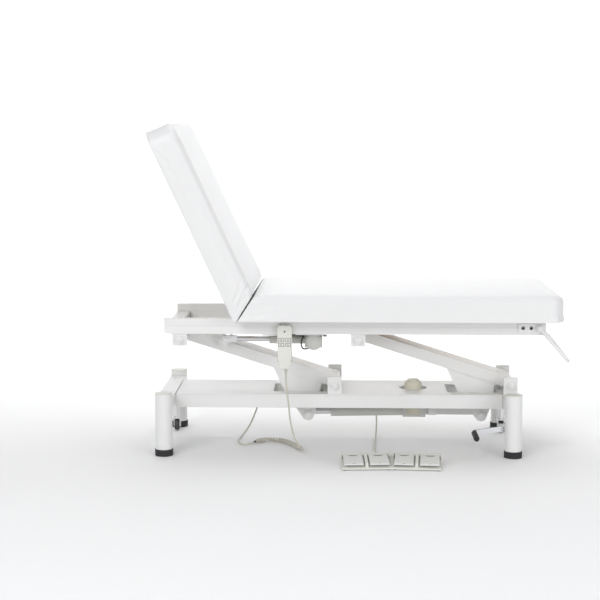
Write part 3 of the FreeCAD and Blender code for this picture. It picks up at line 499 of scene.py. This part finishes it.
seat_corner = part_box("seat_cushion")[0]
cushion("seat_cushion", "seat_mattress", seat_corner, Vector((0, 0, 1)), Vector((1, 0, 0)), [SEAM_DROP],
        SEAT_CREASES)
lean = Matrix.Rotation(BACKREST_RAISED, 3, "Y")
hinge = centre("backrest_hinge_pins")
cushion("backrest_cushion", "backrest_mattress", Vector((hinge.x, 0, hinge.z)), lean @ Vector((0, 0, 1)),
        lean @ Vector((-1, 0, 0)), [SEAM_DROP], BACKREST_CREASES)


# ---------------------------------------------------------------- handset

HAND = centre("handset_housing")
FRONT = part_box("handset_housing")[0].y
FOOT_OF_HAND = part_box("handset_housing")[0].z


def key_rim(name, key):
    """A dark rim round a key's well."""
    low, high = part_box(key)
    out, gap, y = 1.5 * MM, 0.35 * MM, FRONT + 0.2 * MM
    across = [low.x - out, low.x - gap, high.x + gap, high.x + out]
    levels = [low.z - out, low.z - gap, high.z + gap, high.z + out]
    bm = bmesh.new()
    spots = [[bm.verts.new((x, y, z)) for z in levels] for x in across]
    for i in range(3):
        for k in range(3):
            if (i, k) != (1, 1):
                bm.faces.new((spots[i][k], spots[i + 1][k], spots[i + 1][k + 1], spots[i][k + 1]))
    grown = bmesh.ops.extrude_face_region(bm, geom=bm.faces[:])
    bmesh.ops.translate(bm, vec=(0, -0.7 * MM, 0),
                        verts=[v for v in grown["geom"] if isinstance(v, bmesh.types.BMVert)])
    put(name, bm, DARK_RIM_AND_SHADE, HOME["handset_housing"])


BED_ICON = [(-4, -2), (3.6, -2), (3.6, -1), (-4, -1)]
ICONS = {"up": [[(-3, -1.6), (3, -1.6), (0, 2.4)]],
         "down": [[(-3, 1.6), (3, 1.6), (0, -2.4)]],
         "recline": [BED_ICON, [(-4, 0.2), (0.5, 0.2), (0.5, 1.2), (-4, 1.2)]],
         "sit": [BED_ICON, [(-4, -0.4), (-3, -0.4), (-0.8, 2.8), (-1.8, 2.8)]]}


def key_icons():
    for name, shapes in ICONS.items():
        key_rim(f"key_rim_{name}", f"handset_button_{name}")
        key = centre(f"handset_button_{name}")
        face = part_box(f"handset_button_{name}")[0].y
        for number, shape in enumerate(shapes):
            corners = [(key.x + x * MM, face + 0.05 * MM, key.z + z * MM) for x, z in shape]
            sheet_piece(f"key_icon_{name}_{number}", corners, (0, -0.25 * MM, 0), PRINT_AND_SHADE,
                        HOME[f"handset_button_{name}"])


def handset_details():
    body = HOME["handset_housing"]
    key_icons()
    lamp = Vector((HAND.x, FRONT + 0.4 * MM, FOOT_OF_HAND + 133 * MM))
    turned("handset_lamp_rim", [(0, 2.6), (0, 4.4), (0.6, 4.4), (0.9, 4), (0.9, 2.8)], lamp, (0, -1, 0), KEY,
           body, 32, ring=True)
    turned("handset_lamp", [(0, 2.6), (0.3, 2.6), (1.0, 1.4), (1.2, 0)], lamp, (0, -1, 0), BLACK, body,
           32)
    low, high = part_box("handset_housing")
    slab("handset_split_line", (low.x - 0.15 * MM, (low.y + high.y) / 2 - 0.4 * MM, low.z + 24 * MM),
         (high.x + 0.15 * MM, (low.y + high.y) / 2 + 0.4 * MM, high.z - 13 * MM), KEY, body, 0.1)
    for rise in (20, 26, 32):
        z = FOOT_OF_HAND + rise * MM
        slab(f"handset_grip_line_{rise}", (HAND.x - 9 * MM, FRONT - 0.5 * MM, z),
             (HAND.x + 9 * MM, FRONT + 0.5 * MM, z + 1.4 * MM), OFF_WHITE, body, 0.4)
    hook_low, hook_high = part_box("handset_hook")
    for side in (-1, 1):
        x = (hook_low.x + hook_high.x) / 2 + side * 5 * MM
        turned(f"hook_screw_{side + 1}", [(0, 2.6), (1.0, 2.6), (1.6, 1.8), (1.7, 0)],
               (x, hook_high.y - 11.6 * MM, hook_high.z - 2.2 * MM), (0, 0, 1), ZINC, body, 24)
    relief_low, relief_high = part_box("handset_strain_relief")
    middle = (relief_low + relief_high) / 2
    ribs = [(0, 2.9), (0, 3.6)]
    for step in range(5):
        base, wide = step * 4.2, 3.7 + step * 0.62
        ribs += [(base + 0.4, wide), (base + 2.6, wide + 0.2), (base + 2.8, wide - 0.7),
                 (base + 4.0, wide - 0.6)]
    ribs += [(22, 6.4), (22, 2.9)]
    made = turned("handset_relief", ribs, (middle.x, middle.y, relief_low.z), (0, 0, 1), CORD,
                  HOME["handset_strain_relief"], 32, ring=True)
    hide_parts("handset_strain_relief")


handset_details()


# ---------------------------------------------------------------- cords

BED_MIDDLE = 70
SOCKET_Y, SOCKET_Z = 170 * MM, 152 * MM
COIL_PITCH, COIL_RADIUS, COLLAR_WIDE = 9.6 * MM, 5.9 * MM, 8.6 * MM
RISER = [(-267, -241, 287.4), (-267, -241, 264), (-262, -241.5, 222), (-257, -241, 180), (-254, -238, 138),
         (-247, -235, 99), (-238, -237, 66), (-224, -240, 36), (-209, -233, 15.5), (-203, -216, 9.8),
         (-207.7, -197.3, 9.5), (-214, -181, 9.5)]
CURL = [(-214, -181, 9.5), (-226, -150, 9.5), (-243, -110, 9.5), (-266, -68, 9.5), (-299, -34, 9.5),
        (-339, -27, 9.5), (-371, -46, 9.5), (-391, -72, 9.5)]
TAIL = [(-391, -72, 9.5), (-402, -87, 6.5), (-422, -93, 3.2), (-440, -78, 3.2), (-449, -50, 3.2),
        (-452, -16, 3.2), (-448, 22, 3.6), (-438, 52, 10), (-420, 69, 33), (-403, 80, 66),
        (-390, 90, 101), (-378, 97, 131), (-358, 100, 152), (-334, 100, 152)]
PEDAL_CORD = [(37.97, -335.03, 16), (36.6, -315.1, 16), (36.5, -292, 7), (40, -262, 3.2), (45, -226, 3.2),
              (50, -180, 3.2), (50, -120, 3.2), (51, -60, 3.2), (54, 0, 3.4), (57, 42, 10), (60, 70, 34),
              (61, 84, 70), (55, 92, 108), (40, 97, 138), (16, 100, 152), (-8, 100, 152)]
THICK = 6 * MM


def from_bed(points):
    """The routes give Y from the bed's centre line, which lies off the frame's own middle."""
    return [(x, y + BED_MIDDLE, z) for x, y, z in points]


def riser_cord():
    """The part from the handset to the floor bends between the bed's base and the handset."""
    line = evenly(centreline(from_bed(RISER)), 0.005)
    riser = tube_mesh("handset_cord_upper", line, THICK, CORD)
    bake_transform(riser)
    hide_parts("handset_cord_riser")


def curly_cord():
    """A helix that opens and closes at its ends, between two collars."""
    spine = evenly(centreline(from_bed(CURL)), 0.0005)
    turns = round(length_of(spine) / COIL_PITCH)
    coil = []
    for number, (point, (way, side, other)) in enumerate(zip(spine, frames_along(spine))):
        gone = number / (len(spine) - 1)
        ease = min(1.0, gone * 14, (1 - gone) * 14)
        angle = math.tau * turns * gone
        coil.append(point + (side * math.cos(angle) + other * math.sin(angle)) * COIL_RADIUS * ease)
    coil = evenly(coil, 0.0016)
    for name, part in (("start", spine[:18]), ("end", spine[-18:])):
        collar = tube_mesh(f"coil_collar_{name}", part, COLLAR_WIDE, BLACK, 24)
        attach(collar, "base")
    curly = tube_mesh("handset_cord_coil", coil, THICK, CORD, 12)
    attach(curly, "base")
    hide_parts("handset_cord_curl")


def floor_cords():
    """The two cords that lie on the floor and rise to the control box."""
    tail = wire("handset_cord_lower", from_bed(TAIL), 6, CORD, "base")
    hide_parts("handset_cord_tail")
    length_of(centreline(from_bed(TAIL)))
    lead = wire("foot_control_cord", from_bed(PEDAL_CORD), 6, CORD, "base")
    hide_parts("pedal_cord")
    length_of(centreline(from_bed(PEDAL_CORD)))


riser_cord()
curly_cord()
floor_cords()


POD_SPLAY = 4


def gland(name, start, along, big, small, long):
    """A ribbed sleeve where a cord enters a housing, tapering from big to small over its length."""
    ribs = [(0, 2.9), (0, big), (3, big), (3.4, big - 0.9)]
    for step in range(4):
        base = 4 + step * (long - 5) / 4
        wide = big - 1 + (small - big + 1) * step / 4
        ribs += [(base, wide), (base + (long - 5) / 7, wide - 0.1), (base + (long - 5) / 6, wide - 0.9)]
    ribs += [(long, small), (long, 2.9)]
    return turned(name, ribs, start, along, BLACK, "base", 32, ring=True)


def glands():
    box_low, box_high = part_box("control_box")
    left = gland("control_gland_left", (box_low.x, SOCKET_Y, SOCKET_Z), (-1, 0, 0), 8, 4.2, 22)
    gland("control_gland_right", (box_high.x, SOCKET_Y, SOCKET_Z), (1, 0, 0), 8, 4.2, 22)
    splay = math.radians(POD_SPLAY)
    out = Vector((-math.sin(splay), math.cos(splay), 0))
    exit = mm(*from_bed(PEDAL_CORD)[0])
    gland("pedal_gland", exit - out * 16 * MM, out, 7, 4.2, 16)
    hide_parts("cord_glands")


glands()


# ---------------------------------------------------------------- foot control


PEDAL_RISE, PEDAL_RUN = 14.5, 71
PEDAL_TOP, PEDAL_BACK = 37.5, 30.2


def pedal_details():
    """Dark sheets that paint the shade of a toe recess at the back of each pedal and of a notch in its front
    lip.
    """
    slope = math.atan(PEDAL_RISE / PEDAL_RUN)
    tilt = Matrix.Rotation(slope, 3, "X")
    for number in range(1, 5):
        node = f"foot_pedal_{number}"
        turn = Matrix.Rotation(math.radians(POD_SPLAY if number < 3 else -POD_SPLAY), 3, "Z")
        mid = centre(node)

        def on_top(x, y, sunk=0.3):
            """A place on the ramp, from the middle of the pedal, in mm."""
            flat = Vector((mid.x, mid.y, 0)) + turn @ mm(x, y, 0)
            return flat + mm(0, 0, PEDAL_TOP - (PEDAL_BACK - y) * math.tan(slope) - sunk)

        raised = turn @ (tilt @ mm(0, 0, 0.45))
        arc = [(17 * math.cos(math.pi * i / 16), 27 - 7 * math.sin(math.pi * i / 16)) for i in range(17)]
        # Painted shade: the recess and the notch are flat dark sheets on the ramp, which isn't cut.
        sheet_piece(f"pedal_recess_shade_{number}", [on_top(x, y) for x, y in arc], raised, DARK_RIM_AND_SHADE, HOME[node])
        notch = [(5 * math.cos(math.pi * i / 8), 3 * math.sin(math.pi * i / 8) - 40) for i in range(9)]
        sheet_piece(f"pedal_notch_shade_{number}", [on_top(x, y) for x, y in notch], raised, DARK_RIM_AND_SHADE, HOME[node])


pedal_details()


# ---------------------------------------------------------------- castors and feet


TYRE_SHAPE = [(0.6, 13), (0, 14), (0, 17.6), (0.8, 19.6), (2.6, 20.8), (5, 21), (13, 21), (15.4, 20.8),
              (17.2, 19.6), (18, 17.6), (18, 14), (17.4, 13)]
HUB_SHAPE = [(1.6, 4.1), (1.6, 6), (2.4, 7), (2.4, 11.5), (1.2, 13), (16.8, 13), (15.6, 11.5), (15.6, 7),
             (16.4, 6), (16.4, 4.1)]


def castors():
    for end in ("head", "foot"):
        for side in ("near", "far"):
            node = f"castor_wheel_{end}_{side}"
            low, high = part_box(node)
            mid = (low + high) / 2
            start = (low.x, mid.y, mid.z)
            tyre = turned(f"tyre_{end}_{side}", TYRE_SHAPE, start, (1, 0, 0), TYRE, HOME[node],
                          56, ring=True)
            turned(f"hub_{end}_{side}", HUB_SHAPE, start, (1, 0, 0), HUB, HOME[node], 56,
                   ring=True)
            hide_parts(node)


LEG_CAP = [(-8, 27), (-0.2, 27.2), (-0.2, 30.3), (2.0, 30.5), (3.6, 29.6), (4.4, 27), (4.8, 20), (5, 0)]
LEG_RADIUS = 30 * MM


def leg_caps():
    """A domed plastic cap closes each leg's top."""
    low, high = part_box("leg_tubes")
    for end, x in (("head", low.x + LEG_RADIUS), ("foot", high.x - LEG_RADIUS)):
        for side, y in (("near", low.y + LEG_RADIUS), ("far", high.y - LEG_RADIUS)):
            turned(f"leg_cap_{end}_{side}", LEG_CAP, (x, y, high.z), (0, 0, 1), OFF_WHITE, "base",
                   64)


castors()
leg_caps()


# ---------------------------------------------------------------- fasteners, caps and seams


def bolt_head(name, spot, along, radius, body):
    """A washer and a domed head with a round socket, painted with the frame."""
    washer = [(0, 0), (0, radius * 1.35), (1.2, radius * 1.35), (1.6, radius * 1.25), (1.6, 0)]
    head = [(1.2, 0), (1.2, radius), (radius * 0.35 + 1, radius * 0.94), (radius * 0.6 + 1, radius * 0.7),
            (radius * 0.66 + 1, radius * 0.42), (radius * 0.4, radius * 0.38), (radius * 0.4, 0)]
    turned(name + "_washer", washer, spot, along, PAINTED, body, 40)
    turned(name, head, spot, along, PAINTED, body, 40)


def pivot_bolts():
    shaft, radius, sunk = 11 * MM, 9, 0.4 * MM
    for node in ("lower_pivot_shafts", "upper_pivot_shafts"):
        low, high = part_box(node)
        z = (low.z + high.z) / 2
        for end, x in (("head", low.x + shaft), ("foot", high.x - shaft)):
            bolt_head(f"{node}_bolt_{end}_near", (x, low.y + sunk, z), (0, -1, 0), radius, HOME[node])
            bolt_head(f"{node}_bolt_{end}_far", (x, high.y - sunk, z), (0, 1, 0), radius, HOME[node])


def rail_caps():
    """Pale plugs in the open ends of the top frame's tubes."""
    for node, tall in (("upper_frame_rails", 28), ("lower_frame_rails", 26)):
        low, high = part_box(node)
        for side, y in (("near", low.y), ("far", high.y - 30 * MM)):
            for end, x in (("head", low.x), ("foot", high.x - 4 * MM)):
                slab(f"{node}_plug_{end}_{side}", (x + 0.3 * MM, y + 2.6 * MM, low.z + 2.6 * MM),
                     (x + 3.7 * MM, y + 27.4 * MM, low.z + (tall - 2.6) * MM), OFF_WHITE, HOME[node],
                     0.8)


def weld_bead(name, start, end, thick, body):
    """A slightly uneven fillet of weld under the paint."""
    start, end = Vector(start), Vector(end)
    count = max(3, int((end - start).length / 0.004))
    line = [start.lerp(end, i / count) for i in range(count + 1)]
    radii = [thick * MM * (1 + 0.16 * math.sin(i * 2.4) + 0.08 * math.sin(i * 5.1)) for i in range(count + 1)]
    put(name, tube(line, radii, 8), WHITE, body, 60)


def welds():
    low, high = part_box("lower_pivot_posts")
    base = low.z + 0.3 * MM
    for end, x in (("head", low.x), ("foot", high.x - 50 * MM)):
        for side, y in (("near", low.y), ("far", high.y)):
            weld_bead(f"post_weld_{end}_{side}", (x + 1 * MM, y, base), (x + 49 * MM, y, base), 2.2, "base")
    low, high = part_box("upper_pivot_brackets")
    top = high.z - 0.3 * MM
    for end, x in (("head", low.x), ("foot", high.x - 52 * MM)):
        for side, y in (("near", low.y), ("far", high.y)):
            weld_bead(f"bracket_weld_{end}_{side}", (x + 1 * MM, y, top), (x + 51 * MM, y, top), 2.0,
                      HOME["upper_pivot_brackets"])


pivot_bolts()
rail_caps()
welds()


# ---------------------------------------------------------------- motors and control box


LIFT_MOTOR_X, LIFT_MOTOR_Y, LIFT_CAN_Z = 192 * MM, BED_MIDDLE * MM, 106.5 * MM
BACK_MOTOR_X, BACK_MOTOR_Z = -171 * MM, 396 * MM
BACK_CABLE = [(-190, -88, 371), (-206, -90, 366), (-216, -92, 380), (-214, -92, 402), (-205, -92, 420),
              (-196, -84, 433)]


def lift_motor_details():
    body = HOME["lift_motor"]
    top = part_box("lift_motor")[1].z
    can = [(0, 31), (0, 32.6), (1.5, 33), (40, 33), (41, 32.4), (42, 33), (108, 33), (110, 32.6), (111.2, 31)]
    dome = [(-2, 31.2), (2, 31), (7, 29), (9.4, 26.5), (9.6, 22.5), (13, 21.6), (15.6, 19), (16.6, 14),
            (16.8, 0)]
    screw = [(0, 0), (0, 3), (1.6, 3), (2.2, 2.2), (2.3, 0)]
    turned("lift_motor_can", can, (LIFT_MOTOR_X, LIFT_MOTOR_Y, LIFT_CAN_Z), (0, 0, 1), CREAM, body,
           64, ring=True)
    turned("lift_motor_dome", dome, (LIFT_MOTOR_X, LIFT_MOTOR_Y, top), (0, 0, 1), CREAM, body,
           64)
    for side in (-1, 1):
        spot = (LIFT_MOTOR_X + side * 25 * MM, LIFT_MOTOR_Y, top + 6.2 * MM)
        turned(f"lift_motor_screw_{side + 1}", screw, spot, (0, 0, 1), ZINC, body, 20)


def back_motor_details():
    body = HOME["back_motor"]
    eye = Vector((BACK_MOTOR_X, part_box("back_motor")[0].y, BACK_MOTOR_Z))
    cover = [(-1, 25), (1.5, 25), (2.4, 24), (2.4, 18.5), (1.2, 17.5), (1.2, 12), (2.2, 11), (2.6, 5),
             (2.6, 0)]
    screw = [(0, 0), (0, 2.2), (1.2, 2.2), (1.8, 1.4), (1.8, 0)]
    turned("back_motor_cover", cover, eye, (0, -1, 0), MOTOR, body, 64)
    for number in range(3):
        angle = math.tau * (number / 3 + 0.08)
        spot = eye + mm(21 * math.cos(angle), -2.2, 21 * math.sin(angle))
        turned(f"back_motor_screw_{number}", screw, spot, (0, -1, 0), ZINC, body, 20)
    wire("back_motor_cable", BACK_CABLE, 5, BLACK, body)
    for end, low_x, high_x in (("head", -233, -204.5), ("foot", -138.5, -124)):
        slab(f"back_motor_bracket_{end}", mm(low_x, -90, 413.5), mm(high_x, -50, 427.5), BLACK, body,
             1.0)


def control_details():
    low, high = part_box("control_box")
    for i, x in enumerate((low.x + 9 * MM, high.x - 9 * MM)):
        for k, z in enumerate((low.z + 9 * MM, high.z - 9 * MM)):
            turned(f"control_screw_{i}{k}", [(-0.4, 0), (-0.4, 3.4), (1.0, 3.4), (1.6, 2.4), (1.6, 0)],
                   (x, low.y, z), (0, -1, 0), ZINC, "base", 24)
    for number in range(7):
        x = (low.x + high.x) / 2 + (number - 3) * 9 * MM
        # Painted shade: each vent slot is a dark slab on the face, not an opening.
        slab(f"control_vent_{number}", (x - 1.6 * MM, low.y - 0.3 * MM, low.z + 18 * MM),
             (x + 1.6 * MM, low.y + 0.8 * MM, high.z - 18 * MM), PRINT_AND_SHADE, "base", 0.2)
    low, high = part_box("mains_inlet")
    mid = (low + high) / 2
    # Painted shade: the inlet's recess is a dark slab, not a hollow.
    slab("inlet_recess", (low.x + 10 * MM, low.y + 5 * MM, low.z - 0.2 * MM),
         (high.x - 10 * MM, high.y - 5 * MM, low.z + 1 * MM), PRINT_AND_SHADE, "base", 0.4)
    for number, (x, y) in enumerate(((-7, 2), (7, 2), (0, -3))):
        slab(f"inlet_pin_{number}", (mid.x + (x - 1) * MM, mid.y + (y - 2) * MM, low.z - 3 * MM),
             (mid.x + (x + 1) * MM, mid.y + (y + 2) * MM, low.z + 1 * MM), ZINC, "base", 0.3)


lift_motor_details()
back_motor_details()
control_details()


# ---------------------------------------------------------------- stage, light and camera


def stage_floor():
    """A pale floor that sweeps up into a backdrop behind the bed. Metres."""
    bm = bmesh.new()
    sweep, bend = 3.2, 2
    angles = [math.pi / 2 * i / 12 for i in range(1, 13)]
    profile = [(-9, 0), (sweep, 0)]
    profile += [(sweep + bend * math.sin(a), bend - bend * math.cos(a)) for a in angles]
    profile += [(sweep + bend, 9)]
    rows = [[bm.verts.new((x, y, z)) for x in (-12, 12)] for y, z in profile]
    for low, high in zip(rows, rows[1:]):
        bm.faces.new((low[0], low[1], high[1], high[0]))
    mesh = bpy.data.meshes.new("floor")
    bm.to_mesh(mesh)
    bm.free()
    mesh.shade_smooth()
    mesh.materials.append(material("pale_floor", (0.93, 0.93, 0.93), 0.75, tint=0.005, depth=0.0))
    floor = bpy.data.objects.new("floor", mesh)
    bpy.context.scene.collection.objects.link(floor)


def soft_light(name, spot, target, size, power):
    data = bpy.data.lights.new(name, "AREA")
    data.shape = "RECTANGLE"
    data.size, data.size_y = size
    data.energy = power
    lamp = bpy.data.objects.new(name, data)
    lamp.location = spot
    lamp.rotation_euler = (Vector(target) - Vector(spot)).to_track_quat("-Z", "Y").to_euler()
    bpy.context.scene.collection.objects.link(lamp)


stage_floor()
soft_light("key", (-2.2, -4.2, 2.6), (0, 0, 0.4), (2.6, 2.2), 82)
soft_light("fill", (2.8, -4.0, 1.3), (0, 0, 0.3), (2.6, 1.8), 52)
soft_light("overhead", (0.2, 0.6, 3.6), (0, 0.2, 0.3), (3.2, 2.2), 34)
soft_light("backdrop_wash", (0, 2.2, 3.6), (0, 5.2, 1.2), (6, 1.2), 150)
world = bpy.data.worlds.new("studio")
world.use_nodes = True
world.node_tree.nodes["Background"].inputs["Color"].default_value = (0.97, 0.98, 1.0, 1)
world.node_tree.nodes["Background"].inputs["Strength"].default_value = 0.48
bpy.context.scene.world = world
bpy.context.scene.view_settings.view_transform = "Standard"

lens = bpy.data.cameras.new("camera")
lens.lens = 88.6
lens.sensor_width = 36
camera = bpy.data.objects.new("camera", lens)
camera.location = (-0.065, -5.298, 1.190)
camera.rotation_euler = (math.radians(90 - 7.06), 0, math.radians(1.70))
bpy.context.scene.collection.objects.link(camera)
bpy.context.scene.camera = camera
